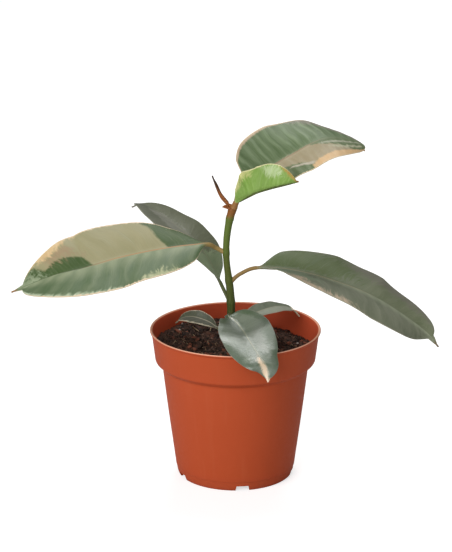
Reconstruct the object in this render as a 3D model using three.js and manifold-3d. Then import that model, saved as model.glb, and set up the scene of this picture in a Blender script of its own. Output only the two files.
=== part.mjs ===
// A young variegated rubber plant in a round nursery pot, one mesh for each piece.
// Millimetres, +Z up. The origin is the middle of the pot's underside, on the surface it stands on,
// and +X is the plant's right as it is seen from the front (-Y).

import * as THREE from 'three';
import { mergeVertices } from 'three/addons/utils/BufferGeometryUtils.js';
import Module from 'manifold-3d';

// Driving dimensions
const GAP = 0.3;                 // clearance kept between neighbouring pieces
const RIM_RADIUS = 52.5;
const POT_HEIGHT = 93;
const FOOT_RADIUS = 35.2;
const WALL = 1.2;                // the pot's moulded wall
const FLOOR_UNDERSIDE = 3.6;     // the floor is held up by the foot ring and a middle pad
const SOIL_LEVEL = 82;
const STEM_HOLE_BOTTOM = 62;
const BLADE_THICKNESS = 0.8;

const POT_SEGMENTS = 52;
const SOIL_SEGMENTS = 40;
const STEM_SIDES = 12;
const ACROSS = 4;                // columns of a blade from its midrib to each edge
const KEEL = 3;                  // distance from the midrib over which a fold turns up
const WIDTHS_PER_SLANT = 0.28;   // how far forward the side veins run, in widths of the blade

const DEGREE = Math.PI / 180;
const UP = new THREE.Vector3(0, 0, 1);

const wasm = await Module();
wasm.setup();

// A small repeatable random number generator, 0 to 1
function seededRandom(seed) {
  let state = seed;
  return () => {
    state = (state * 16807) % 2147483647;
    return state / 2147483647;
  };
}

function within([low, high], random) {
  return low + (high - low) * random();
}

// Closed meshes to solids and back, for joining and cutting
function solidOf(geometry) {
  const bare = geometry.clone();
  bare.deleteAttribute('normal');
  bare.deleteAttribute('uv');
  const merged = mergeVertices(bare, 1e-4);
  return new wasm.Manifold(new wasm.Mesh({
    numProp: 3,
    vertProperties: new Float32Array(merged.attributes.position.array),
    triVerts: new Uint32Array(merged.index.array),
  }));
}

function geometryOf(solid) {
  const mesh = solid.getMesh();
  const geometry = new THREE.BufferGeometry();
  geometry.setAttribute('position', new THREE.BufferAttribute(new Float32Array(mesh.vertProperties), 3));
  geometry.setIndex(new THREE.BufferAttribute(new Uint32Array(mesh.triVerts), 1));
  return geometry;
}

// A closed body through a row of loops with the same even number of points. The first half of a
// loop is its upper face from left to right, the second half its lower face from right to left,
// and the two faces are split into triangles alike.
function loft(loops) {
  const around = loops[0].length;
  const faces = [];
  for (let i = 0; i + 1 < loops.length; i++) {
    for (let j = 0; j < around; j++) {
      const a = i * around + j;
      const b = i * around + (j + 1) % around;
      const c = b + around;
      const d = a + around;
      if (j < around / 2) {
        faces.push(a, b, c, a, c, d);
      } else {
        faces.push(a, b, d, b, c, d);
      }
    }
  }
  const last = (loops.length - 1) * around;
  for (let j = 0; j + 1 < around / 2; j++) {
    const upper = j;
    const lower = around - 1 - j;
    faces.push(upper, lower, lower - 1, upper, lower - 1, upper + 1);
    faces.push(last + upper, last + lower - 1, last + lower);
    faces.push(last + upper, last + upper + 1, last + lower - 1);
  }
  const geometry = new THREE.BufferGeometry().setFromPoints(loops.flat());
  geometry.setIndex(faces);
  return geometry;
}

// A smooth value through evenly spaced keys, t from 0 to 1
function keyed(keys, t) {
  const last = keys.length - 1;
  const place = THREE.MathUtils.clamp(t, 0, 1) * last;
  const i = Math.min(Math.floor(place), last - 1);
  const before = keys[i - 1] ?? 2 * keys[0] - keys[1];
  const after = keys[i + 2] ?? 2 * keys[last] - keys[last - 1];
  const f = place - i;
  const turn = 2 * before - 5 * keys[i] + 4 * keys[i + 1] - after;
  const bend = 3 * (keys[i] - keys[i + 1]) + after - before;
  return keys[i] + 0.5 * f * (keys[i + 1] - before + f * (turn + f * bend));
}

function curveThrough(points) {
  return new THREE.CatmullRomCurve3(points.map((p) => new THREE.Vector3(...p)), false, 'catmullrom', 0.5);
}

function material(color, roughness) {
  return new THREE.MeshStandardMaterial({ color, roughness, metalness: 0, side: THREE.DoubleSide });
}

function piece(name, geometry, look) {
  const mesh = new THREE.Mesh(geometry, look);
  mesh.name = name;
  return mesh;
}

// ---------------------------------------------------------------------------------------------
// Pot: a thin terracotta-coloured moulding with a deep band under the rim, a body that tapers to a
// foot ring, five notches in the ring and five drain holes in the raised floor.

const BAND_BOTTOM = 73.5;
const CREASE = 70.3;
const POT_OUTSIDE = [
  [FOOT_RADIUS, 0],
  [FOOT_RADIUS + 0.8, 2],
  [FOOT_RADIUS + 1.5, 6],
  [FOOT_RADIUS + 2.4, 12],
  [41.6, 42],
  [44.5, 66],
  [44.9, CREASE],
  [49.2, BAND_BOTTOM],
  [51.4, POT_HEIGHT - 1.9],
  [52.1, POT_HEIGHT - 1.5],
  [RIM_RADIUS, POT_HEIGHT - 0.8],
  [RIM_RADIUS - 0.3, POT_HEIGHT - 0.1],
  [RIM_RADIUS - 0.9, POT_HEIGHT],
];
const POT_INSIDE = [
  [50.7, POT_HEIGHT - 0.6],
  [50.1, POT_HEIGHT - 3],
  [48.1, BAND_BOTTOM + 1],
  [43.6, CREASE + 0.6],
  [43.3, 66],
  [40.4, 42],
  [36.4, 12],
  [35.2, FLOOR_UNDERSIDE + WALL],
];
const PAD_RADIUS = 10;
const FOOT_RING_INSIDE = 33.8;
const NOTCHES = 5;
const NOTCH_WIDTH = 8.6;
const NOTCH_HEIGHT = 3.2;
const NOTCH_DRAFT = 0.6;         // the notch is narrower at its top, on each side
const NOTCH_REACH = 6;           // how far the cut runs in and out from the foot's edge
const FRONT_NOTCH_ANGLE = -83;
const DRAIN_HOLE_RADIUS = 3.5;
const DRAIN_HOLE_CIRCLE = 21;
const DRAIN_HOLE_SIDES = 14;

function notchCutter(angle) {
  const top = NOTCH_WIDTH / 2 - NOTCH_DRAFT;
  const bottom = NOTCH_WIDTH / 2 + NOTCH_DRAFT;
  const outline = new THREE.Shape([
    new THREE.Vector2(-bottom, -NOTCH_HEIGHT),
    new THREE.Vector2(bottom, -NOTCH_HEIGHT),
    new THREE.Vector2(top, NOTCH_HEIGHT),
    new THREE.Vector2(-top, NOTCH_HEIGHT),
  ]);
  const cutter = new THREE.ExtrudeGeometry(outline, { depth: 2 * NOTCH_REACH, bevelEnabled: false });
  cutter.rotateX(90 * DEGREE);
  cutter.translate(0, FOOT_RADIUS + NOTCH_REACH, 0);
  cutter.rotateZ((angle - 90) * DEGREE);
  return solidOf(cutter);
}

function drainHole(angle) {
  const hole = new THREE.CylinderGeometry(
    DRAIN_HOLE_RADIUS, DRAIN_HOLE_RADIUS, 3 * WALL, DRAIN_HOLE_SIDES);
  hole.rotateX(90 * DEGREE);
  hole.translate(DRAIN_HOLE_CIRCLE, 0, FLOOR_UNDERSIDE + WALL / 2);
  hole.rotateZ(angle * DEGREE);
  return solidOf(hole);
}

function makePot() {
  const profile = [
    [0, 0],
    [PAD_RADIUS, 0],
    [PAD_RADIUS, FLOOR_UNDERSIDE],
    [FOOT_RING_INSIDE, FLOOR_UNDERSIDE],
    [FOOT_RING_INSIDE, 0],
    ...POT_OUTSIDE,
    ...POT_INSIDE,
    [0, FLOOR_UNDERSIDE + WALL],
  ].map(([radius, height]) => new THREE.Vector2(radius, height));
  const moulding = new THREE.LatheGeometry(profile, POT_SEGMENTS);
  moulding.rotateX(90 * DEGREE);
  let pot = solidOf(moulding);
  for (let i = 0; i < NOTCHES; i++) {
    const angle = FRONT_NOTCH_ANGLE + i * 360 / NOTCHES;
    pot = pot.subtract(notchCutter(angle));
    pot = pot.subtract(drainHole(angle + 180 / NOTCHES));
  }
  return piece('pot', geometryOf(pot), material(0xb4552f, 0.5));
}

function insideRadius(height) {
  let i = 0;
  while (i + 2 < POT_INSIDE.length && POT_INSIDE[i + 1][1] > height) {
    i++;
  }
  const [upperRadius, upperHeight] = POT_INSIDE[i];
  const [lowerRadius, lowerHeight] = POT_INSIDE[i + 1];
  return THREE.MathUtils.mapLinear(height, lowerHeight, upperHeight, lowerRadius, upperRadius);
}

// ---------------------------------------------------------------------------------------------
// Stem: one woody green shoot that leans left, then back to the right, with a low ring where each
// leaf leaves it. Its foot stands in a plain hole in the soil.

const STEM_PATH = [
  [-2.5, 0, STEM_HOLE_BOTTOM + GAP],
  [-2.5, 0, 83],
  [-2.6, 0, 103],
  [-3.2, 0, 117],
  [-4.4, 0, 127],
  [-5.5, 0, 137],
  [-5.6, 0, 146],
  [-4.8, 0, 155],
  [-3.2, 0, 164],
  [-0.8, 0, 172],
];
const STEM_RADII = [2.8, 2.7, 2.6, 2.5, 2.4, 2.05, 2.0, 2.2, 2.4];
const STEM_RINGS = [100, 110, 124, 141, 163, 168];  // heights of the leaf scars
const RING_HEIGHT = 0.3;
const RING_WIDTH = 2;
const STEM_STEP = 3;
const STEM_TOP_TAPER = 0.7;
const stemCurve = curveThrough(STEM_PATH);

function stemRadius(height, share) {
  let radius = keyed(STEM_RADII, share);
  for (const ring of STEM_RINGS) {
    radius += RING_HEIGHT * Math.exp(-(((height - ring) / RING_WIDTH) ** 2));
  }
  return radius;
}

// A stem body, `extra` mm fatter all round than the real one
function stemGeometry(extra) {
  const steps = Math.round(stemCurve.getLength() / STEM_STEP);
  const loops = [];
  for (let i = 0; i <= steps; i++) {
    const share = i / steps;
    const centre = stemCurve.getPointAt(share);
    const ahead = stemCurve.getTangentAt(share);
    const side = new THREE.Vector3(0, 1, 0);
    const front = new THREE.Vector3().crossVectors(side, ahead);
    const taper = share === 1 ? STEM_TOP_TAPER : 1;
    const radius = stemRadius(centre.z, share) * taper + extra;
    if (share === 1) {
      centre.addScaledVector(ahead, extra);
    }
    const loop = [];
    for (let j = 0; j < STEM_SIDES; j++) {
      const turn = Math.PI - (j + 0.5) * 2 * Math.PI / STEM_SIDES;
      loop.push(centre.clone()
        .addScaledVector(side, radius * Math.cos(turn))
        .addScaledVector(front, radius * Math.sin(turn)));
    }
    loops.push(loop);
  }
  return loft(loops);
}

function makeStem() {
  return piece('stem', stemGeometry(0), material(0x5d7a3a, 0.55));
}

// ---------------------------------------------------------------------------------------------
// Soil: dark peat that fills the pot, higher on the left, with lumps and a few bark chips.

const SOIL_RINGS = 8;
const SOIL_SLOPE = -0.055;       // rise for each mm to the right
const SOIL_INSET = 0.6;          // its crumbled edge stands this much further in than the wall's gap
const SOIL_HOLE_RADIUS = 3.1;
const SOIL_SEED = 11;
const LUMPS = 110;
const LUMP_PLACE = [-48, 48];
const LUMP_SPREAD = [3.5, 7.5];
const LUMP_RISE = [-1.2, 2];
const BARK_CHIPS = 16;
const CHIP_REACH = [12, 42];     // from the middle of the pot
const CHIP_LENGTH = [4, 8];
const CHIP_WIDTH = [2.5, 4.5];
const CHIP_THICKNESS = [1.6, 2.6];
const CHIP_TILT = [-0.35, 0.35]; // radians
const CHIP_LIFT = 0.4;
const soilRandom = seededRandom(SOIL_SEED);
const soilLumps = Array.from({ length: LUMPS }, () => ({
  x: within(LUMP_PLACE, soilRandom),
  y: within(LUMP_PLACE, soilRandom),
  spread: within(LUMP_SPREAD, soilRandom),
  rise: within(LUMP_RISE, soilRandom),
}));

function soilHeight(x, y) {
  let height = SOIL_LEVEL + SOIL_SLOPE * x;
  for (const lump of soilLumps) {
    const distance = Math.hypot(x - lump.x, y - lump.y);
    height += lump.rise * Math.exp(-((distance / lump.spread) ** 2));
  }
  return height;
}

function soilLoop(pointAt) {
  const loop = [];
  for (let j = 0; j < SOIL_SEGMENTS; j++) {
    const turn = -(j + 0.5) * 2 * Math.PI / SOIL_SEGMENTS;
    loop.push(pointAt(Math.cos(turn), Math.sin(turn)));
  }
  return loop;
}

function barkChip() {
  const turn = within([0, 2 * Math.PI], soilRandom);
  const reach = within(CHIP_REACH, soilRandom);
  const x = reach * Math.cos(turn);
  const y = reach * Math.sin(turn);
  const size = [CHIP_LENGTH, CHIP_WIDTH, CHIP_THICKNESS].map((range) => within(range, soilRandom));
  const chip = new THREE.BoxGeometry(...size);
  chip.rotateX(within(CHIP_TILT, soilRandom));
  chip.rotateY(within(CHIP_TILT, soilRandom));
  chip.rotateZ(within([0, Math.PI], soilRandom));
  chip.translate(x, y, soilHeight(x, y) + CHIP_LIFT);
  return solidOf(chip);
}

function makeSoil() {
  const holeBottom = new THREE.Vector3(STEM_PATH[0][0], 0, STEM_HOLE_BOTTOM);
  const edge = insideRadius(SOIL_LEVEL) - GAP - SOIL_INSET;
  const hole = (c, s) => new THREE.Vector3(c, s, 0).multiplyScalar(SOIL_HOLE_RADIUS).add(holeBottom);
  const loops = [soilLoop(hole)];
  for (let ring = 0; ring <= SOIL_RINGS; ring++) {
    loops.push(soilLoop((c, s) => {
      const point = hole(c, s).lerp(new THREE.Vector3(edge * c, edge * s, 0), ring / SOIL_RINGS);
      return point.setZ(soilHeight(point.x, point.y));
    }));
  }
  for (const [radius, height] of POT_INSIDE.slice(2)) {
    loops.push(soilLoop((c, s) => new THREE.Vector3((radius - GAP) * c, (radius - GAP) * s, height + GAP)));
  }
  let soil = solidOf(loft(loops));
  for (let i = 0; i < BARK_CHIPS; i++) {
    soil = soil.add(barkChip());
  }
  return piece('soil', geometryOf(soil), material(0x3a2a22, 0.95));
}

// ---------------------------------------------------------------------------------------------
// Leaves: each is a round stalk that runs on as the midrib under a thin blade. The path is the
// midrib from the stem to the tip; lean, fold and curl are in degrees along the blade: how far the
// right side drops, how far both halves rise from the midrib, and how much more by their edges.
// The two dry halves of the bud's sheath at the top of the stem have the same form.

const LEAVES = [
  {
    name: 'leaf_left',
    path: [[-5.5, 0, 141], [-12, 0, 144.5], [-18.5, -4.5, 148], [-40, -13.5, 148.5], [-68, -19.5, 144.5],
      [-90, -26.5, 140], [-109, -28, 135.5], [-135, -18, 122]],
    stalk: 14,
    radius: 1.3,
    width: 56,
    widest: 0.53,
    lean: [-26, -25, -26, -43],
    fold: [6, 15, 15, 26],
    curl: [-23, -19, -14, -3],
    stations: 28,
    color: 0x87957a,
  },
  {
    name: 'leaf_right',
    path: [[-3, 0, 122.8], [3.2, 0, 128], [13.5, 0, 131.8], [34, -2, 131], [58, -10, 127], [85.5, -15, 117],
      [113.5, -17, 98], [122.5, -25, 89.5]],
    stalk: 18,
    radius: 1.2,
    width: 57,
    widest: 0.5,
    lean: [4, 3, 11, 29],
    fold: [31, 19, 12, 15],
    curl: [-11, -18, -24, -26],
    stations: 28,
    color: 0x6f8068,
  },
  {
    name: 'leaf_back_left',
    path: [[-3, 1, 108.5], [-7.3, 3.2, 117], [-11, 4.8, 124.5], [-18.5, 10.5, 137], [-29.5, 19, 147],
      [-41, 28.5, 153.5], [-56.5, 41.5, 160], [-64.5, 50, 156]],
    stalk: 14,
    radius: 1.1,
    width: 38.5,
    widest: 0.47,
    lean: [25, 7, 8, 9],
    fold: [20, 14, 12, 10],
    curl: [-14, -18, -14, -10],
    stations: 24,
    color: 0x667468,
  },
  {
    name: 'leaf_top',
    path: [[-0.3, 1.6, 170.5], [1.5, 4, 178.2], [6.4, 6, 182.6], [18.8, 15.5, 189.3], [33.5, 23, 196],
      [54.5, 32.5, 204.3], [75.6, 45.5, 199.2], [80.3, 52.5, 191.5]],
    stalk: 14,
    radius: 1.1,
    width: 54,
    widest: 0.42,
    lean: [31, 21, 13, 18],
    fold: [28, 24, 10, 0],
    curl: [-10, -14, -20, -23],
    stations: 28,
    color: 0x7e9075,
  },
  {
    name: 'leaf_new',
    path: [[-1, -1.5, 170.2], [0.9, -2.7, 174.8], [2.9, -3.8, 176.3], [9.3, -5.7, 179.9],
      [13.6, -8.5, 182.5], [21.3, -9.3, 185.2], [29.4, -11, 188.1], [37.6, -11, 190.9]],
    stalk: 4,
    radius: 1.7,
    width: 33,
    widest: 0.52,
    drip: 0.02,
    lean: [2, -12, -24],
    fold: [62, 66, 70],
    curl: [6, 6, 6],
    stations: 14,
    color: 0x93b45c,
  },
  {
    name: 'leaf_front',
    path: [[-2.4, 0, 102], [-4.3, -6.4, 102.6], [0, -11.5, 101], [4.6, -24.7, 99.5], [6.9, -39.4, 100.5],
      [13.3, -54.6, 95], [18.2, -61.4, 89.7], [19.1, -64, 81.1]],
    stalk: 4,
    radius: 1.1,
    width: 33,
    widest: 0.46,
    drip: 0.02,
    lean: [9, 5, 12, 18],
    fold: [39, 31, 12, 2],
    curl: [-4, -12, -24, -30],
    stations: 24,
    color: 0x8b9c8e,
  },
  {
    name: 'leaf_low_left',
    path: [[-3, 1, 91], [-8, 2, 91], [-11, 3, 92], [-16, 5, 95], [-22, 8, 96.5], [-27, 11, 96.5],
      [-32.5, 15, 94.5], [-37, 17, 90.5]],
    stalk: 8,
    radius: 0.9,
    width: 17,
    widest: 0.52,
    lean: [5, -6, -18],
    fold: [2, 8, 22],
    curl: [-8, -6, 0],
    stations: 12,
    color: 0x8d9a80,
  },
  {
    name: 'leaf_low_right',
    path: [[-2.5, 1, 94], [3, 4, 96.5], [7, 6, 98], [14, 10, 100], [21, 14.5, 101], [27, 18.5, 100.8],
      [33, 22.5, 98.9], [37, 23.5, 96.2], [40, 24, 92.5]],
    stalk: 10,
    radius: 0.9,
    width: 21,
    widest: 0.52,
    drip: 0.14,
    lean: [2, 0, 12],
    fold: [8, 3, -3],
    curl: [0, 0, 0],
    stations: 12,
    color: 0x8d9a80,
  },
  {
    name: 'bud_sheath',
    path: [[-2, 0, 170], [-3.6, 0, 171.4], [-6, 0, 173.4], [-8.8, 0, 176.8], [-11.2, 0, 182],
      [-14, 1, 189.5]],
    stalk: 2,
    radius: 0.9,
    width: 5,
    widest: 0.3,
    lean: [0, 0],
    fold: [45, 60],
    curl: [30, 10],
    stations: 8,
    color: 0x9a5a38,
  },
  {
    name: 'bud_sheath_lobe',
    path: [[-2.5, -1.2, 168.5], [-4, -2, 170], [-6, -2.5, 171], [-8, -2.5, 171]],
    stalk: 2,
    radius: 0.8,
    width: 3,
    widest: 0.4,
    lean: [-30, -40],
    fold: [30, 30],
    curl: [10, 10],
    stations: 4,
    color: 0x7a4028,
  },
];
const DRIP_TIP = 0.06;           // the last share of most blades, drawn out to a point
const DRIP_WIDTH = 0.07;         // its width where it begins, in widths of the blade
const FULLNESS = 2.3;            // how square-shouldered the outline is
const BLUNTNESS = 0.74;          // the lower, the blunter its two ends
const RIPPLE = 0.004;            // rise and fall at neighbouring side veins, in widths of the blade
const EDGE_WAVE = 0.006;         // rise and fall of the edges, in widths of the blade
const EDGE_WAVES = 4;
const BLEND = 0.08;              // share of the blade over which the stalk flattens into it
const RIB_DEPTH = 1.1;           // how far the midrib stands out below, in its own radii
const RIB_AT_TIP = 0.25;         // its radius at the tip, in stalk radii
const LEAST_MARGIN = 0.2;        // of the blade beside the midrib
const STALK_STEP = 3;

function halfWidth(leaf, t) {
  const tip = leaf.drip ?? DRIP_TIP;
  const body = THREE.MathUtils.clamp(t / (1 - tip), 0, 1);
  const skew = Math.log(0.5) / Math.log(leaf.widest);
  const swell = 1 - Math.abs(2 * body ** skew - 1) ** FULLNESS;
  const drip = DRIP_WIDTH * THREE.MathUtils.clamp((1 - t) / tip, 0, 1) * Math.min(1, t * 4);
  return leaf.width / 2 * Math.max(Math.max(swell, 0) ** BLUNTNESS, drip);
}

function ribRadius(leaf, t) {
  return leaf.radius * THREE.MathUtils.lerp(1, RIB_AT_TIP, Math.sqrt(THREE.MathUtils.clamp(t, 0, 1)));
}

// Place and directions on the path, t below 0 for the stalk and 0 to 1 for the blade
function frameAt(leaf, t) {
  const length = leaf.curve.getLength();
  const blade = length - leaf.stalk;
  const share = THREE.MathUtils.clamp((leaf.stalk + t * blade) / length, 0, 1);
  const ahead = leaf.curve.getTangentAt(share);
  const right = new THREE.Vector3().crossVectors(ahead, UP).normalize();
  right.applyAxisAngle(ahead, keyed(leaf.lean, t) * DEGREE);
  const above = new THREE.Vector3().crossVectors(right, ahead);
  return { place: leaf.curve.getPointAt(share), right, above };
}

// A point on the upper (face 1) or lower (face -1) face at column 0 to ACROSS of one side
function bladePoint(leaf, along, side, column, face, ridge) {
  const share = column / ACROSS;
  const slant = WIDTHS_PER_SLANT * leaf.width / leaf.curve.getLength();
  const t = along + slant * share * 4 * along * (1 - along);
  const rib = ribRadius(leaf, t);
  const half = Math.max(halfWidth(leaf, t), rib + LEAST_MARGIN);
  const fold = keyed(leaf.fold, t) * DEGREE;
  const curl = keyed(leaf.curl, t) * DEGREE;
  const distance = (k) => (k === 0 ? 0 : rib + (half - rib) * (k - 1) / (ACROSS - 1));
  const angle = (d) => fold * Math.min(1, d / KEEL) + curl * d / half;
  let out = 0;
  let rise = 0;
  for (let k = 1; k <= column; k++) {
    const step = distance(k) - distance(k - 1);
    const middle = angle((distance(k) + distance(k - 1)) / 2);
    out += step * Math.cos(middle);
    rise += step * Math.sin(middle);
  }
  const tilt = angle(distance(column));
  const wave = 2 * EDGE_WAVE * half * share ** 2 * Math.sin(2 * Math.PI * EDGE_WAVES * t + side);
  const ripple = 2 * RIPPLE * half * ridge * Math.min(share * 2, 1);
  const ribDepth = column === 0 && face < 0 ? RIB_DEPTH * rib : 0;
  const lift = face * BLADE_THICKNESS / 2 - ribDepth + wave + ripple;
  const { place, right, above } = frameAt(leaf, t);
  return place
    .addScaledVector(right, side * (out - lift * Math.sin(tilt)))
    .addScaledVector(above, rise + lift * Math.cos(tilt));
}

function stalkPoint(leaf, t, side, column, face) {
  const turn = (90 - column * 180 / (2 * ACROSS + 1)) * DEGREE;
  const radius = ribRadius(leaf, t);
  const { place, right, above } = frameAt(leaf, t);
  return place
    .addScaledVector(right, side * radius * Math.cos(turn))
    .addScaledVector(above, face * radius * Math.sin(turn));
}

function leafLoop(leaf, t, ridge) {
  const flatness = THREE.MathUtils.smoothstep(t, 0, BLEND);
  const pointAt = (signed, face) => {
    const side = Math.sign(signed) || 1;
    const column = Math.abs(signed);
    const round = stalkPoint(leaf, t, side, column, face);
    return flatness === 0 ? round : round.lerp(bladePoint(leaf, t, side, column, face, ridge), flatness);
  };
  const loop = [];
  for (let k = -ACROSS; k <= ACROSS; k++) {
    loop.push(pointAt(k, 1));
  }
  for (let k = ACROSS; k >= -ACROSS; k--) {
    loop.push(pointAt(k, -1));
  }
  return loop;
}

function leafGeometry(leaf) {
  leaf.curve = curveThrough(leaf.path);
  const bladeLength = leaf.curve.getLength() - leaf.stalk;
  const stalkSteps = Math.max(2, Math.round(leaf.stalk / STALK_STEP));
  const loops = [];
  for (let i = 0; i < stalkSteps; i++) {
    loops.push(leafLoop(leaf, (i / stalkSteps - 1) * leaf.stalk / bladeLength, 0));
  }
  for (const t of [0, BLEND / 3, BLEND * 2 / 3]) {
    loops.push(leafLoop(leaf, t, 0));
  }
  for (let i = 0; i <= leaf.stations; i++) {
    const ridge = i === leaf.stations ? 0 : i % 2 * 2 - 1;
    loops.push(leafLoop(leaf, THREE.MathUtils.lerp(BLEND, 1, i / leaf.stations), ridge));
  }
  return loft(loops);
}

function makeLeaf(leaf, stemClearance) {
  const whole = solidOf(leafGeometry(leaf));
  return piece(leaf.name, geometryOf(whole.subtract(stemClearance)), material(leaf.color, 0.4));
}

const plant = new THREE.Group();
plant.add(makePot());
plant.add(makeStem());
plant.add(makeSoil());
const stemClearance = solidOf(stemGeometry(GAP));
for (const leaf of LEAVES) {
  plant.add(makeLeaf(leaf, stemClearance));
}

export default plant;
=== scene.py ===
import math
import random
import bpy
import bmesh
import numpy as np
from mathutils import Matrix, Vector, noise


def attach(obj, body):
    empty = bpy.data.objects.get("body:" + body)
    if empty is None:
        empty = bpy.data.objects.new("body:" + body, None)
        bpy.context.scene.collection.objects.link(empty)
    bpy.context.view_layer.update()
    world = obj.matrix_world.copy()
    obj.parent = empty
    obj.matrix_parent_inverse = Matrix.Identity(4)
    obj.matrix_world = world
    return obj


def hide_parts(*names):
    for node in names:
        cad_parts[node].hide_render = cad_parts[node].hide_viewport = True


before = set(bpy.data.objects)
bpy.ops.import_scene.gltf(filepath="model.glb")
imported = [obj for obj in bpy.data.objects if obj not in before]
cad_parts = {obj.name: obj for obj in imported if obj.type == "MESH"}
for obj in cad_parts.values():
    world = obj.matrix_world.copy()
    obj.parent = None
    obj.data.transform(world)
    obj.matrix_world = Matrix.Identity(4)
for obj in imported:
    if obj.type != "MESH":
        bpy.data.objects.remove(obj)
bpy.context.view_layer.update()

# Camera: a long lens a metre and a half away, looking slightly down on the pot, so that the
# far edge of the rim shows behind the near one.
LOOK_AT = Vector((-0.00577, 0, 0.1265))
CAMERA_DISTANCE = 1.5
CAMERA_ELEVATION = math.radians(17.6)
LENS_PIXELS = 2463
IMAGE_HEIGHT = 552
SENSOR = 36

scene = bpy.context.scene
camera_data = bpy.data.cameras.new("camera")
camera_data.sensor_width = SENSOR
camera_data.lens = LENS_PIXELS * SENSOR / IMAGE_HEIGHT
camera_data.clip_start = 0.05
camera = bpy.data.objects.new("camera", camera_data)
camera_away = Vector((0, -math.cos(CAMERA_ELEVATION), math.sin(CAMERA_ELEVATION)))
camera.location = LOOK_AT + camera_away * CAMERA_DISTANCE
camera.rotation_euler = (math.pi / 2 - CAMERA_ELEVATION, 0, 0)
scene.collection.objects.link(camera)
scene.camera = camera
scene.view_settings.view_transform = "Standard"

# Studio: a plain white floor, a very large soft box in front on the left, a weak one on the
# right, one overhead behind that puts the sheen on the leaves, and soft white all round.
FLOOR_SIZE = 12
SQUARE = [(-1, -1), (1, -1), (1, 1), (-1, 1)]
FLOOR_WHITE = (0.62, 0.62, 0.62, 1)
FLOOR_GLOW = (0.65, 0.65, 0.65, 1)
ALL_ROUND = 0.2


def soft_box(name, place, size, power):
    light = bpy.data.lights.new(name, "AREA")
    light.size = size
    light.energy = power
    lamp = bpy.data.objects.new(name, light)
    lamp.location = place
    aim = LOOK_AT - place
    lamp.rotation_euler = aim.to_track_quat("-Z", "Y").to_euler()
    scene.collection.objects.link(lamp)


soft_box("key", Vector((-1.3, -1.75, 1.15)), size=2.0, power=51)
soft_box("fill", Vector((1.4, -1.6, 1.0)), size=1.8, power=6)
soft_box("sheen", Vector((0.15, 0.8, 1.6)), size=0.9, power=15)

studio = bpy.data.worlds.new("studio")
studio.use_nodes = True
studio.node_tree.nodes["Background"].inputs["Color"].default_value = (1, 1, 1, 1)
studio.node_tree.nodes["Background"].inputs["Strength"].default_value = ALL_ROUND
scene.world = studio

floor_mesh = bpy.data.meshes.new("floor")
floor_mesh.from_pydata([(x * FLOOR_SIZE / 2, y * FLOOR_SIZE / 2, 0) for x, y in SQUARE], [], [(0, 1, 2, 3)])
floor = bpy.data.objects.new("floor", floor_mesh)
scene.collection.objects.link(floor)
floor_paint = bpy.data.materials.new("white_floor")
floor_paint.use_nodes = True
floor_shader = floor_paint.node_tree.nodes["Principled BSDF"]
for socket, value in (("Base Color", FLOOR_WHITE), ("Emission Color", FLOOR_GLOW), ("Roughness", 0.8),
                      ("Specular IOR Level", 0.1)):
    floor_shader.inputs[socket].default_value = value
in_the_picture = floor_paint.node_tree.nodes.new("ShaderNodeLightPath").outputs["Is Camera Ray"]
floor_paint.node_tree.links.new(in_the_picture, floor_shader.inputs["Emission Strength"])
floor_mesh.materials.append(floor_paint)

# Pot: a thin moulding in terracotta-coloured plastic, turned to a deep band under a small
# rim bead, with five notches in the foot ring and drain holes in the raised floor. Its
# sizes are in mm, and its profiles are corners of (radius, height, rounding).
MM = 0.001
POT_HEIGHT = 93
RIM_RADIUS = 52.5
FOOT_RADIUS = 35.2
FLOOR_UNDERSIDE = 3.6
FLOOR_TOP = 4.8
BAND_BOTTOM = 73.5
CREASE = 70.3
PAD_RADIUS = 10
FOOT_RING_INSIDE = 33.8
POT_UNDERSIDE = [
    (0, 0, 0), (PAD_RADIUS, 0, 0.3), (PAD_RADIUS, FLOOR_UNDERSIDE, 0.3),
    (FOOT_RING_INSIDE, FLOOR_UNDERSIDE, 0.3), (FOOT_RING_INSIDE, 0, 0.3)]
POT_OUTSIDE = [
    (FOOT_RADIUS, 0, 0.5), (FOOT_RADIUS + 0.8, 2, 1.5), (FOOT_RADIUS + 1.3, 5.6, 0.1),
    (FOOT_RADIUS + 1.6, 5.9, 0.1), (FOOT_RADIUS + 2.4, 12, 8), (41.6, 42, 20), (44.5, 66, 4),
    (44.9, CREASE, 0.6), (49.2, BAND_BOTTOM, 1.0), (51.4, POT_HEIGHT - 1.9, 0.3),
    (52.1, POT_HEIGHT - 1.5, 0.4), (RIM_RADIUS, POT_HEIGHT - 0.8, 0.3),
    (RIM_RADIUS - 0.3, POT_HEIGHT - 0.1, 0.3), (RIM_RADIUS - 0.9, POT_HEIGHT, 0.3)]
POT_INSIDE = [
    (50.7, POT_HEIGHT - 0.6, 0.5), (50.1, POT_HEIGHT - 3, 2), (48.1, BAND_BOTTOM + 1, 1),
    (43.6, CREASE + 0.6, 1), (43.3, 66, 3), (40.4, 42, 20), (36.4, 12, 8), (35.2, FLOOR_TOP, 0.8),
    (0, FLOOR_TOP, 0)]
POT_ROUND = 220
SIDE_SHARE = 0.45    # the most of a side that one rounding takes
NOTCHES = 5
NOTCH_WIDTH = 8.6
NOTCH_HEIGHT = 3.2
NOTCH_DRAFT = 0.6
NOTCH_DEPTH = 6
FRONT_NOTCH = math.radians(-83)
DRAIN_HOLE_RADIUS = 3.5
DRAIN_HOLE_CIRCLE = 21
DRAIN_SIDES = 32
DRAIN_CUT = 5
INWARD = 0.3    # how far a face turns to the axis to count as the inside
CLAY = ((0.45, 0.072, 0.022), (0.49, 0.080, 0.026))
DRAWN_CLAY = (0.52, 0.12, 0.05)
CLAY_SPECKS = (0.36, 0.055, 0.02)
FOOT_DARKENING = (0.26, 0.06, 0.03)
# painted light: a brighter red for the inner wall above the crease
PAINTED_INNER_LIGHT = (0.68, 0.105, 0.045)
# painted highlight: the pale salmon line along the top edge of the rim lip
PAINTED_LIP_HIGHLIGHT = (0.88, 0.46, 0.31)


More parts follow.
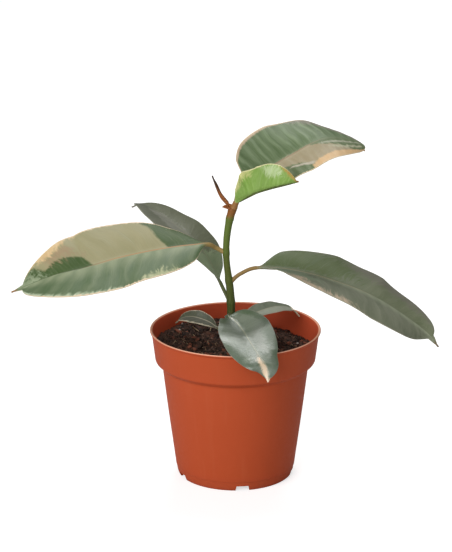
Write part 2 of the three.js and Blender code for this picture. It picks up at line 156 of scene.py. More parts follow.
def rounded(corners, steps=5):
    """A profile in metres with each of its corners rounded."""
    corners = [(x * MM, z * MM, fillet * MM) for x, z, fillet in corners]
    points = []
    for i, (x, z, fillet) in enumerate(corners):
        if i in (0, len(corners) - 1):
            points.append((x, z))
            continue
        here = Vector((x, z))
        before = Vector(corners[i - 1][:2]) - here
        after = Vector(corners[i + 1][:2]) - here
        reach = min(fillet, before.length * SIDE_SHARE, after.length * SIDE_SHARE)
        start = here + before.normalized() * reach
        end = here + after.normalized() * reach
        for k in range(steps + 1):
            t = k / steps
            points.append(tuple((1 - t) ** 2 * start + 2 * t * (1 - t) * here + t * t * end))
    return points


def placed(name, vertices, faces):
    mesh = bpy.data.meshes.new(name)
    mesh.from_pydata(vertices, [], faces)
    thing = bpy.data.objects.new(name, mesh)
    scene.collection.objects.link(thing)
    return thing


def turned(name, profile, around):
    """A body turned round Z from a profile that starts and ends on the axis."""
    inner = profile[1:-1]
    count = len(inner)
    vertices = [(0, 0, profile[0][1]), (0, 0, profile[-1][1])]
    faces = []
    for k in range(around):
        angle = 2 * math.pi * k / around
        vertices += [(r * math.cos(angle), r * math.sin(angle), z) for r, z in inner]
        a = 2 + k * count
        b = 2 + (k + 1) % around * count
        faces += [(a + i, b + i, b + i + 1, a + i + 1) for i in range(count - 1)]
        faces.append((0, b, a))
        faces.append((1, a + count - 1, b + count - 1))
    return placed(name, vertices, faces)


def smoothed(thing, sharp_from):
    thing.data.shade_smooth()
    thing.data.set_sharp_from_angle(angle=math.radians(sharp_from))


def cut_away(thing, cutters):
    for cutter in cutters:
        cut = thing.modifiers.new("cut", "BOOLEAN")
        cut.operation = "DIFFERENCE"
        cut.solver = "EXACT"
        cut.object = cutter
    bpy.context.view_layer.update()
    evaluated = thing.evaluated_get(bpy.context.evaluated_depsgraph_get())
    finished = bpy.data.meshes.new_from_object(evaluated)
    thing.modifiers.clear()
    thing.data = finished
    for cutter in cutters:
        bpy.data.objects.remove(cutter)


BOX_SIDES = [(3, 2, 1, 0), (4, 5, 6, 7), (0, 1, 5, 4), (1, 2, 6, 5), (2, 3, 7, 6), (3, 0, 4, 7)]


def notch_cutter(angle):
    bottom = NOTCH_WIDTH / 2 + NOTCH_DRAFT
    top = NOTCH_WIDTH / 2 - NOTCH_DRAFT
    section = [(-bottom, -NOTCH_HEIGHT), (bottom, -NOTCH_HEIGHT), (top, NOTCH_HEIGHT), (-top, NOTCH_HEIGHT)]
    turn = Matrix.Rotation(angle, 4, "Z")
    vertices = [turn @ Vector((reach * MM, y * MM, z * MM))
                for reach in (FOOT_RADIUS - NOTCH_DEPTH, FOOT_RADIUS + NOTCH_DEPTH) for y, z in section]
    return placed("notch", vertices, BOX_SIDES)


def drain_cutter(angle):
    drain = placed("drain", [], [])
    place = Matrix.Translation((DRAIN_HOLE_CIRCLE * MM, 0, FLOOR_UNDERSIDE * MM))
    body = bmesh.new()
    bmesh.ops.create_cone(body, cap_ends=True, segments=DRAIN_SIDES, radius1=DRAIN_HOLE_RADIUS * MM,
                          radius2=DRAIN_HOLE_RADIUS * MM, depth=DRAIN_CUT * MM,
                          matrix=Matrix.Rotation(angle, 4, "Z") @ place)
    body.to_mesh(drain.data)
    body.free()
    return drain


pot = turned("pot_moulding", rounded(POT_UNDERSIDE + POT_OUTSIDE + POT_INSIDE), POT_ROUND)
notch_angles = [FRONT_NOTCH + k * 2 * math.pi / NOTCHES for k in range(NOTCHES)]
cut_away(pot, [notch_cutter(a) for a in notch_angles]
         + [drain_cutter(a + math.pi / NOTCHES) for a in notch_angles])
smoothed(pot, sharp_from=38)
faces_inward = [float(v.co.z > CREASE * MM and v.normal.xy.dot(v.co.xy) < -INWARD * v.co.xy.length)
                for v in pot.data.vertices]
pot.data.attributes.new("inward", "FLOAT", "POINT").data.foreach_set("value", faces_inward)


class Finish:
    """A material in the making: its nodes are added one by one and end in its own shader."""

    def __init__(self, name, **shader_values):
        self.material = bpy.data.materials.new(name)
        self.material.use_nodes = True
        self.tree = self.material.node_tree
        self.shader = self.tree.nodes["Principled BSDF"]
        for socket, value in shader_values.items():
            self.shader.inputs[socket.replace("_", " ")].default_value = value
        self.where = self.tree.nodes.new("ShaderNodeTexCoord").outputs["Object"]
        self.colour = None

    def put(self, socket, value):
        if isinstance(value, bpy.types.NodeSocket):
            self.tree.links.new(value, socket)
        else:
            socket.default_value = value

    def node(self, kind, *values, **settings):
        """A node with its first sockets filled and its settings made."""
        node = self.tree.nodes.new("ShaderNode" + kind)
        for setting, choice in settings.items():
            setattr(node, setting, choice)
        for socket, value in zip(node.inputs, values):
            self.put(socket, value)
        return node

    def times(self, a, b):
        return self.node("Math", a, b, operation="MULTIPLY").outputs[0]

    def plus(self, a, b):
        return self.node("Math", a, b, operation="ADD").outputs[0]

    def minus(self, a, b):
        return self.node("Math", a, b, operation="SUBTRACT").outputs[0]

    def between(self, value, low, high, out_low=0.0, out_high=1.0):
        """A smooth step of a value that goes from out_low at low to out_high at high."""
        return self.node("MapRange", value, low, high, out_low, out_high,
                         interpolation_type="SMOOTHSTEP").outputs[0]

    def mottle(self, scale, detail=4.0, roughness=0.5, place=None):
        node = self.node("TexNoise", place or self.where)
        for socket, value in (("Scale", scale), ("Detail", detail), ("Roughness", roughness)):
            node.inputs[socket].default_value = value
        return node.outputs["Fac"]

    def cells(self, scale):
        node = self.node("TexVoronoi", self.where)
        node.inputs["Scale"].default_value = scale
        return node.outputs["Distance"]

    def blend(self, amount, a, b):
        node = self.node("Mix", amount, data_type="RGBA")
        for socket, value in ((node.inputs[6], a), (node.inputs[7], b)):
            self.put(socket, (*value, 1) if isinstance(value, tuple) else value)
        return node.outputs[2]

    def paint(self, amount, colour):
        """Lays a colour over what is there."""
        self.colour = self.blend(amount, self.colour, colour)

    def noted(self, name):
        return self.node("Attribute", attribute_name=name).outputs["Fac"]

    def height(self):
        return self.node("SeparateXYZ", self.where).outputs["Z"]

    def point(self, x, y, z):
        return self.node("CombineXYZ", x, y, z).outputs[0]

    def stretched(self, x, y, z):
        """The place on the object, with each axis multiplied."""
        return self.node("VectorMath", self.where, (x, y, z), operation="MULTIPLY").outputs[0]

    def relief(self, height, depth, strength):
        bump = self.tree.nodes.new("ShaderNodeBump")
        bump.inputs["Strength"].default_value = strength
        bump.inputs["Distance"].default_value = depth
        self.put(bump.inputs["Height"], height)
        self.put(self.shader.inputs["Normal"], bump.outputs[0])
        self.put(self.shader.inputs["Coat Normal"], bump.outputs[0])

    def finished(self, roughness):
        self.put(self.shader.inputs["Base Color"], self.colour)
        self.put(self.shader.inputs["Roughness"], roughness)
        return self.material


def terracotta_plastic():
    """Satin plastic with the faintest streaks along the draw, a little darker towards the foot, painted
    brighter on the inner wall as if lit, and with a painted highlight along the rim lip.
    """
    clay = Finish("terracotta_plastic", Specular_IOR_Level=0.22, IOR=1.35)
    height = clay.height()
    fine = clay.mottle(520, 5, 0.6)
    drawn = clay.mottle(1, 3, 0.5, clay.stretched(200, 200, 10))
    clay.colour = clay.blend(clay.mottle(28, 3), *CLAY)
    clay.paint(clay.between(drawn, 0.5, 0.8, 0, 0.18), DRAWN_CLAY)
    clay.paint(clay.between(fine, 0.6, 0.8, 0, 0.25), CLAY_SPECKS)
    # Darker towards the foot: a mottled wash over the lowest centimetre of the pot.
    foot_darkening = clay.times(clay.between(height, 0.0, 0.01, 1, 0), clay.mottle(160, 5, 0.7))
    clay.paint(clay.times(foot_darkening, 0.45), FOOT_DARKENING)
    # Painted light: the inner wall above the crease is painted a brighter red than the outside, in place of
    # the light that reaches it.
    clay.paint(clay.times(clay.noted("inward"), 0.7), PAINTED_INNER_LIGHT)
    # Painted highlight: a thin pale salmon line along the top edge of the rim lip.
    lip_highlight = clay.between(height, (POT_HEIGHT - 0.6) * MM, (POT_HEIGHT - 0.3) * MM)
    clay.paint(clay.times(lip_highlight, 0.9), PAINTED_LIP_HIGHLIGHT)
    clay.relief(clay.plus(clay.times(fine, 0.6), drawn), 0.0001, 0.3)
    return clay.finished(clay.between(fine, 0.3, 0.7, 0.5, 0.6))


pot.data.materials.clear()
pot.data.materials.append(terracotta_plastic())
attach(pot, "root")
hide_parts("pot")

# Soil: dark peat that fills the pot, higher on the left, with clods, bark chips, crumbs, pale
# root fibres and a little white grit lying in it.
SOIL_LEVEL = 82 * MM
SOIL_SLOPE = -0.055
SOIL_LUMPS = 110
SOIL_LUMP_FIELD = 96
LUMP_SPREAD = (3.5, 4)    # at least, and how much more at most
LUMP_RISE = (-1.2, 3.2)
SOIL_SEED = 11
SOIL_EDGE = 48.7 * MM
SOIL_BELOW = [(74, 47.7), (70.6, 43.2), (66, 42.9), (5.2, 34.8)]    # height and radius in mm
SOIL_RINGS = 120
RING_CROWDING = 0.8    # below 1 the rings are closer at the edge
SOIL_AROUND = 300
CLOD = 2.2 * MM
CLOD_SEED = 7
CLODS_PER_METRE = 160
CLOD_LAYER = 0.3
CLOD_BEND = 0.5
BENDS_PER_CLOD = 0.7
CRACK_MIDDLE = 0.55
GRAIN = 1.1 * MM
GRAINS_PER_METRE = 700
GRAIN_OCTAVES = 4
# peat browns, darkest as painted shade in the hollows; lighter grains, partly painted highlight
PEAT_AND_HOLLOW_SHADE = ((0.008, 0.005, 0.004), (0.12, 0.056, 0.036))
PEAT_GRAINS_AND_GLINTS = (0.24, 0.125, 0.085)


def repeatable(seed):
    """The same plain random draw as the solid's lumps, so that the two surfaces agree."""
    state = seed
    while True:
        state = state * 16807 % 2147483647
        yield state / 2147483647


draw = repeatable(SOIL_SEED)
soil_lumps = [((next(draw) - 0.5) * SOIL_LUMP_FIELD * MM, (next(draw) - 0.5) * SOIL_LUMP_FIELD * MM,
               (LUMP_SPREAD[0] + LUMP_SPREAD[1] * next(draw)) * MM,
               (LUMP_RISE[0] + LUMP_RISE[1] * next(draw)) * MM) for _ in range(SOIL_LUMPS)]


def soil_height(x, y):
    height = SOIL_LEVEL + SOIL_SLOPE * x
    for lump_x, lump_y, spread, rise in soil_lumps:
        height += rise * math.exp(-((x - lump_x) ** 2 + (y - lump_y) ** 2) / spread ** 2)
    return height


noise.seed_set(CLOD_SEED)


def clod_height(x, y):
    """The surface with its clods: rounded lumps with dark cracks between them."""
    place = Vector((x * CLODS_PER_METRE, y * CLODS_PER_METRE, CLOD_LAYER))
    cracks = noise.voronoi(place + CLOD_BEND * noise.noise_vector(place * BENDS_PER_CLOD))[0]
    fine = noise.turbulence(Vector((x, y, 0)) * GRAINS_PER_METRE, GRAIN_OCTAVES, False)
    return soil_height(x, y) + CLOD * (CRACK_MIDDLE - cracks[0]) + GRAIN * (fine - 0.5)


def circle(radius):
    angles = [2 * math.pi * k / SOIL_AROUND for k in range(SOIL_AROUND)]
    return [(radius * math.cos(angle), radius * math.sin(angle)) for angle in angles]


def ring_sides(rings, around):
    """The faces between rings of points that follow each other."""
    return [(i * around + k, i * around + (k + 1) % around,
             (i + 1) * around + (k + 1) % around, (i + 1) * around + k)
            for i in range(rings - 1) for k in range(around)]


soil_points = [(0, 0, clod_height(0, 0))]
for ring in range(1, SOIL_RINGS + 1):
    ring_radius = SOIL_EDGE * (ring / SOIL_RINGS) ** RING_CROWDING
    soil_points += [(x, y, clod_height(x, y)) for x, y in circle(ring_radius)]
for level, ring_radius in SOIL_BELOW:
    soil_points += [(x, y, level * MM) for x, y in circle(ring_radius * MM)]
soil_faces = [(a + 1, d + 1, c + 1, b + 1)
              for a, b, c, d in ring_sides(SOIL_RINGS + len(SOIL_BELOW), SOIL_AROUND)]
soil_faces += [(0, 1 + k, 1 + (k + 1) % SOIL_AROUND) for k in range(SOIL_AROUND)]
soil_faces.append(tuple(reversed(range(len(soil_points) - SOIL_AROUND, len(soil_points)))))
soil = placed("soil_surface", soil_points, soil_faces)
soil.data.shade_smooth()


def peat():
    earth = Finish("peat", Specular_IOR_Level=0.25)
    coarse = earth.mottle(220, 6, 0.7)
    fine = earth.mottle(1400, 5, 0.75)
    # The peat's own browns, going near-black where its bump is low: partly the peat's colour, partly
    # painted shade in the hollows. The lighter grains on the raised bits are partly the peat's grains,
    # partly painted highlight.
    earth.colour = earth.blend(earth.between(coarse, 0.35, 0.7), *PEAT_AND_HOLLOW_SHADE)
    earth.paint(earth.between(fine, 0.56, 0.7), PEAT_GRAINS_AND_GLINTS)
    earth.relief(earth.plus(coarse, fine), 0.0008, 0.9)
    return earth.finished(earth.between(coarse, 0.3, 0.7, 0.75, 0.98))


soil.data.materials.append(peat())
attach(soil, "root")
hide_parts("soil")

# Loose texture of the soil: split flakes of bark, broken crumbs of peat, fine dry roots and
# white grit, each kind joined in one mesh. All sizes are in mm.
BARK_CHIPS = 240
CHIP_LENGTH = (1.8, 6.5)
CHIP_WIDTH = (0.35, 0.75)    # shares of its length
CHIP_THICKNESS = (0.7, 2.0)
CHIP_SIDES = (6, 8)
CHIP_OUTLINE = (0.75, 1.1)
CHIP_TILT = 0.6
CHIP_LIFT = 0.2
CHIP_UNEVEN = 0.1
CHIP_LAYERS = [(0.8, -0.5), (1.0, -0.15), (0.95, 0.3), (0.7, 0.5)]    # outline's share, height
BARK = ((0.03, 0.016, 0.011), (0.24, 0.075, 0.04))
BARK_GRAIN = (0.22, 0.1, 0.065)
CRUMBS = 1500
CRUMB_SIZE = (0.5, 1.9)
CRUMB_WIDTH = (0.6, 1)    # shares of its length
CRUMB_HEIGHT = (0.4, 0.9)
CRUMB_CORNER = (0.65, 1.1)
FIBRES = 40
FIBRE_LENGTH = (4, 13)
FIBRE_THICKNESS = (0.1, 0.22)
FIBRE_STEPS = 9
FIBRE_ARCH = 0.9
FIBRE_LIFT = 0.3
FIBRE_BEND = 0.45
FIBRE_MARGIN = 8
FIBRE_REACH = SOIL_EDGE - 1 * MM    # in metres
GRIT = 14
GRIT_SIZE = (0.5, 1.4)
chance = random.Random(5)


def scattered(name, pieces, finish):
    """Many small bodies, each (vertices, faces), joined in one mesh that lies on the soil."""
    vertices, faces = [], []
    for points, sides in pieces:
        start = len(vertices)
        vertices += [tuple(p) for p in points]
        faces += [tuple(start + i for i in side) for side in sides]
    thing = placed(name, vertices, faces)
    thing.data.materials.append(finish)
    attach(thing, "root")


def somewhere_on_soil(margin):
    reach = (SOIL_EDGE - margin) * math.sqrt(chance.random())
    angle = chance.uniform(0, 2 * math.pi)
    x, y = reach * math.cos(angle), reach * math.sin(angle)
    return Vector((x, y, clod_height(x, y)))


def random_turn(tilt):
    turn = Matrix.Rotation(chance.uniform(0, 2 * math.pi), 3, "Z")
    turn = turn @ Matrix.Rotation(chance.uniform(-tilt, tilt), 3, "X")
    return turn @ Matrix.Rotation(chance.uniform(-tilt, tilt), 3, "Y")


def bark_chip():
    """A split flake of bark: an uneven slab with six to eight sides, thinner at its edge."""
    length = chance.uniform(*CHIP_LENGTH) * MM
    width = length * chance.uniform(*CHIP_WIDTH)
    thick = chance.uniform(*CHIP_THICKNESS) * MM
    sides = chance.randint(*CHIP_SIDES)
    outline = []
    for k in range(sides):
        angle = 2 * math.pi * k / sides
        rough = chance.uniform(*CHIP_OUTLINE)
        outline.append((rough * math.cos(angle) * length / 2, rough * math.sin(angle) * width / 2))
    turn = random_turn(CHIP_TILT)
    place = somewhere_on_soil(length) + Vector((0, 0, thick * CHIP_LIFT))
    points = []
    for grow, level in CHIP_LAYERS:
        for x, y in outline:
            uneven = chance.uniform(-CHIP_UNEVEN, CHIP_UNEVEN)
            points.append(turn @ Vector((x * grow, y * grow, (level + uneven) * thick)) + place)
    faces = [tuple(reversed(range(sides))), tuple(range(3 * sides, 4 * sides))]
    return points, faces + ring_sides(len(CHIP_LAYERS), sides)


BOX_CORNERS = [Vector((x, y, z)) for z in (-1, 1) for x, y in SQUARE]


def crumb(sizes):
    """A broken crumb with eight uneven corners."""
    size = chance.uniform(*sizes) * MM
    turn = random_turn(math.pi)
    place = somewhere_on_soil(size * 2)
    stretch = Vector((1, chance.uniform(*CRUMB_WIDTH), chance.uniform(*CRUMB_HEIGHT))) * size / 2
    points = [turn @ (corner * stretch * chance.uniform(*CRUMB_CORNER)) + place
              for corner in BOX_CORNERS]
    return points, BOX_SIDES


def fibre():
    """A fine dry root that lies over the clods in a loose curve."""
    length = chance.uniform(*FIBRE_LENGTH) * MM
    thick = chance.uniform(*FIBRE_THICKNESS) * MM
    heading = chance.uniform(0, 2 * math.pi)
    place = somewhere_on_soil(FIBRE_MARGIN * MM)
    points = []
    for i in range(FIBRE_STEPS):
        heading += chance.uniform(-FIBRE_BEND, FIBRE_BEND)
        place = place + Vector((math.cos(heading), math.sin(heading), 0)) * length / FIBRE_STEPS
        if place.xy.length > FIBRE_REACH:
            place.xy = place.xy.normalized() * FIBRE_REACH
        arch = FIBRE_ARCH * MM * math.sin(math.pi * i / (FIBRE_STEPS - 1))
        centre = Vector((place.x, place.y, clod_height(place.x, place.y) + FIBRE_LIFT * MM + arch))
        side = Vector((-math.sin(heading), math.cos(heading), 0)) * thick
        points += [centre - side, centre + Vector((0, 0, thick)), centre + side]
    last = 3 * FIBRE_STEPS
    return points, ring_sides(FIBRE_STEPS, 3) + [(2, 1, 0), (last - 3, last - 2, last - 1)]


def bark():
    brown = Finish("bark", Specular_IOR_Level=0.3)
    patchy = brown.mottle(130, 2)
    grain = brown.mottle(1, 4, 0.6, brown.stretched(2600, 700, 2600))
    brown.colour = brown.blend(brown.between(patchy, 0.46, 0.66), *BARK)
    brown.paint(brown.between(grain, 0.45, 0.7, 0, 0.35), BARK_GRAIN)
    brown.relief(grain, 0.0004, 0.8)
    return brown.finished(brown.between(grain, 0.3, 0.7, 0.65, 0.9))


def plain_dry(name, dark, light, scale):
    dry = Finish(name, Specular_IOR_Level=0.25)
    shade = dry.mottle(scale, 4, 0.6)
    dry.relief(shade, 0.0002, 0.6)
    dry.colour = dry.blend(dry.between(shade, 0.35, 0.65), dark, light)
    return dry.finished(dry.between(shade, 0.3, 0.7, 0.7, 0.95))


scattered("bark_chips", [bark_chip() for _ in range(BARK_CHIPS)], bark())
scattered("peat_crumbs", [crumb(CRUMB_SIZE) for _ in range(CRUMBS)],
          plain_dry("crumbs", dark=(0.012, 0.008, 0.006), light=(0.17, 0.095, 0.065), scale=300))
scattered("root_fibres", [fibre() for _ in range(FIBRES)],
          plain_dry("dry_root", dark=(0.3, 0.19, 0.1), light=(0.55, 0.4, 0.25), scale=200))
scattered("white_grit", [crumb(GRIT_SIZE) for _ in range(GRIT)],
          plain_dry("grit", dark=(0.45, 0.42, 0.38), light=(0.75, 0.72, 0.66), scale=500))

# Stem: one green shoot, dark and barky at its foot, olive in the middle and red-brown at the
# top, where the last leaves leave it. It stands in the soil and bends left, then right, with
# a ring round it wherever a leaf has left it. All sizes are in mm.
STEM_PATH = [(-2.5, 0, 62.3), (-2.5, 0, 83), (-2.6, 0, 103), (-3.2, 0, 117), (-4.4, 0, 127),
             (-5.5, 0, 137), (-5.6, 0, 146), (-4.8, 0, 155), (-3.2, 0, 164), (-0.8, 0, 172)]
STEM_RADII = [2.8, 2.7, 2.6, 2.5, 2.4, 2.05, 2.0, 2.2, 2.4]
STEM_RINGS = [100, 110, 124, 141, 163, 168]
RING_RISE = 0.3
RING_SPREAD = 2
STEM_STEPS = 260
STEM_AROUND = 40
ROUNDED_END = 0.012    # share of the stem that narrows to its top
END_WIDTH = 0.3
BARK_FOOT = (0.028, 0.052, 0.010)
BARK_OLIVE = (0.095, 0.118, 0.020)
BARK_GREEN = (0.105, 0.155, 0.024)
BARK_TOP = (0.25, 0.09, 0.018)
BARK_STREAKS = (0.16, 0.15, 0.045)
BARK_PORES = (0.2, 0.14, 0.06)


def keyed(keys, share):
    """A smooth value through evenly spaced keys, share from 0 to 1."""
    keys = np.asarray(keys, float)
    last = len(keys) - 1
    place = np.clip(share, 0, 1) * last
    i = np.minimum(np.floor(place).astype(int), last - 1)
    f = place - i
    padded = np.concatenate(([2 * keys[0] - keys[1]], keys, [2 * keys[last] - keys[last - 1]]))
    before, here, after, beyond = (padded[i + k] for k in range(4))
    turn = 2 * before - 5 * here + 4 * after - beyond
    bend = 3 * (here - after) + beyond - before
    return here + 0.5 * f * (after - before + f * (turn + f * bend))


class Route:
    """A smooth curve through points in mm, read by the distance along it in metres."""

    STEPS = 800
    NEAR = 0.0006    # how far before and behind a place its direction is taken

    def __init__(self, points):
        share = np.linspace(0, 1, self.STEPS + 1)
        points = np.asarray(points) * MM
        self.line = np.stack([keyed(points[:, k], share) for k in range(3)], axis=-1)
        strides = np.linalg.norm(np.diff(self.line, axis=0), axis=1)
        self.distance = np.concatenate(([0], np.cumsum(strides)))
        self.length = self.distance[-1]

    def at(self, distance):
        return np.stack([np.interp(distance, self.distance, self.line[:, k]) for k in range(3)], axis=-1)

    def ahead(self, distance):
        low = np.clip(distance - self.NEAR, 0, self.length)
        high = np.clip(distance + self.NEAR, 0, self.length)
        stride = self.at(high) - self.at(low)
        return stride / np.linalg.norm(stride, axis=-1, keepdims=True)


def loft(name, loops):
    """A closed skin over loops of points, [loop, point, xyz], with flat ends."""
    rows, around = loops.shape[:2]
    ids = np.arange(rows * around).reshape(rows, around)
    next_ids = np.roll(ids, -1, axis=1)
    sides = np.stack([ids[:-1], next_ids[:-1], next_ids[1:], ids[1:]], axis=-1).reshape(-1, 4)
    upper = np.arange(around // 2 - 1)
    lower = around - 1 - upper
    start = np.stack([upper, lower, lower - 1, upper + 1], axis=-1)
    end = (rows - 1) * around + start[:, ::-1]
    return placed(name, loops.reshape(-1, 3).tolist(), np.concatenate([sides, start, end]).tolist())


stem_route = Route(STEM_PATH)
stem_share = np.linspace(0, 1, STEM_STEPS + 1)
stem_centre = stem_route.at(stem_share * stem_route.length)
stem_ahead = stem_route.ahead(stem_share * stem_route.length)
stem_radius = keyed(STEM_RADII, stem_share) * MM
for ring in STEM_RINGS:
    near_ring = np.exp(-((stem_centre[:, 2] - ring * MM) / (RING_SPREAD * MM)) ** 2)
    stem_radius = stem_radius + RING_RISE * MM * near_ring
stem_radius = stem_radius * np.clip(np.sqrt((1 - stem_share) / ROUNDED_END), END_WIDTH, 1)
stem_side = np.broadcast_to((0.0, 1.0, 0.0), stem_centre.shape)
stem_front = np.cross(stem_side, stem_ahead)
stem_turn = math.pi - (np.arange(STEM_AROUND) + 0.5) * 2 * math.pi / STEM_AROUND
stem_loops = (stem_centre[:, None]
              + stem_side[:, None] * (stem_radius[:, None] * np.cos(stem_turn))[..., None]
              + stem_front[:, None] * (stem_radius[:, None] * np.sin(stem_turn))[..., None])
stem = loft("stem_shoot", stem_loops)
smoothed(stem, sharp_from=50)


def green_bark():
    """Satin bark that turns from brown-green at the foot to red-brown at the last leaves."""
    skin = Finish("green_bark", Specular_IOR_Level=0.25)
    height = skin.height()
    long_grain = skin.mottle(1, 4, 0.6, skin.stretched(900, 900, 120))
    pores = skin.cells(900)
    skin.colour = skin.blend(skin.between(height, 0.095, 0.13), BARK_FOOT, BARK_OLIVE)
    skin.paint(skin.between(height, 0.13, 0.155), BARK_GREEN)
    skin.paint(skin.between(height, 0.162, 0.1665), BARK_TOP)
    skin.paint(skin.between(long_grain, 0.45, 0.75, 0, 0.4), BARK_STREAKS)
    skin.paint(skin.between(pores, 0.12, 0.2, 0.5, 0), BARK_PORES)
    skin.relief(skin.minus(long_grain, skin.between(pores, 0.1, 0.25, 0.5, 0)), 0.0003, 0.6)
    return skin.finished(skin.between(long_grain, 0.3, 0.7, 0.42, 0.6))


stem.data.materials.append(green_bark())
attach(stem, "root")
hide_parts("stem")

# Left leaf: the largest, held out towards the viewer's left, tan and cream over most of its
# rear half and grey-green below. Each leaf is one growth: a round stalk that leaves the stem
# and runs on as the midrib under a thin, glossy blade with fine side veins.
BLADE_STATIONS = 150
STALK_STATIONS = 24
STATION_CROWDING = 0.08    # draws the stations towards the blade's two ends
BLADE_COLUMNS = 26    # from the midrib to each edge
COLUMN_CROWDING = 1.15
FOLD_STEPS = 24
KEEL = 0.003    # the distance from the midrib over which a fold turns up
BLEND = 0.08    # share of the blade over which the stalk flattens into it
DRIP_WIDTH = 0.07
BLUNTNESS = 0.74
FULLNESS = 2.3
SLANT = 0.28    # how far forward side veins run, in widths of the blade
EDGE_WAVE = 0.006
EDGE_WAVES = 4
THICKNESS = 0.0006
THINNER_EDGE = 0.45
RIB_TAPER = 0.75
RIB_DEPTH = 1.1
RIB_ABOVE = 0.12
RIB_WIDTH = 0.8    # in radii of the midrib, below and above
RIB_ABOVE_WIDTH = 0.35
BESIDE_RIB = 0.2    # least width of a half beside the midrib, in mm
RIPPLE_START = 0.25    # share of a half over which the ripples grow
RIPPLE_END = 0.15
SWELLING = 0.35    # of the stalk where it leaves the stem
SWELLING_LENGTH = 0.0022
OUTLINE_STRETCH = 4    # a leaf is about four times as long as half its width
TINY = 1e-12


def half_width(width, widest, drip_tip, fullness, share):
    body = np.clip(share / (1 - drip_tip), 0, 1)
    skew = math.log(0.5) / math.log(widest)
    swell = np.clip(1 - np.abs(2 * body ** skew - 1) ** fullness, 0, None) ** BLUNTNESS
    drip = DRIP_WIDTH * np.clip((1 - share) / drip_tip, 0, 1) * np.clip(share * 4, 0, 1)
    return width / 2 * np.maximum(swell, drip)


def rib_radius(radius, share):
    return radius * (1 - RIB_TAPER * np.sqrt(np.clip(share, 0, 1)))


def leaf_frame(route, stalk, lean, share):
    """The midrib's place, and the directions to the blade's right and up from it."""
    distance = np.clip(stalk + share * (route.length - stalk), 0, route.length)
    ahead = route.ahead(distance)
    right = np.cross(ahead, (0, 0, 1))
    right = right / np.linalg.norm(right, axis=-1, keepdims=True)
    tilt = np.radians(keyed(lean, share))[..., None]
    right = right * np.cos(tilt) + np.cross(ahead, right) * np.sin(tilt)
    return route.at(distance), right, np.cross(right, ahead)


def inside(corners, along, across):
    """How far inside an outline a place on the blade is: above 0 inside, below 0 outside."""
    corners = np.asarray(corners) / 100 * (OUTLINE_STRETCH, 1)
    x, y = along * OUTLINE_STRETCH, across
    nearest = np.full(np.shape(x), 1e9)
    within = np.zeros(np.shape(x), bool)
    for (x0, y0), (x1, y1) in zip(corners, np.roll(corners, -1, axis=0)):
        dx, dy = x1 - x0, y1 - y0
        share = np.clip(((x - x0) * dx + (y - y0) * dy) / (dx * dx + dy * dy + TINY), 0, 1)
        nearest = np.minimum(nearest, np.hypot(x - x0 - share * dx, y - y0 - share * dy))
        crosses = (y0 > y) != (y1 > y)
        within ^= crosses & (x < x0 + (y - y0) / np.where(dy == 0, TINY, dy) * dx)
    return np.where(within, nearest, -nearest)


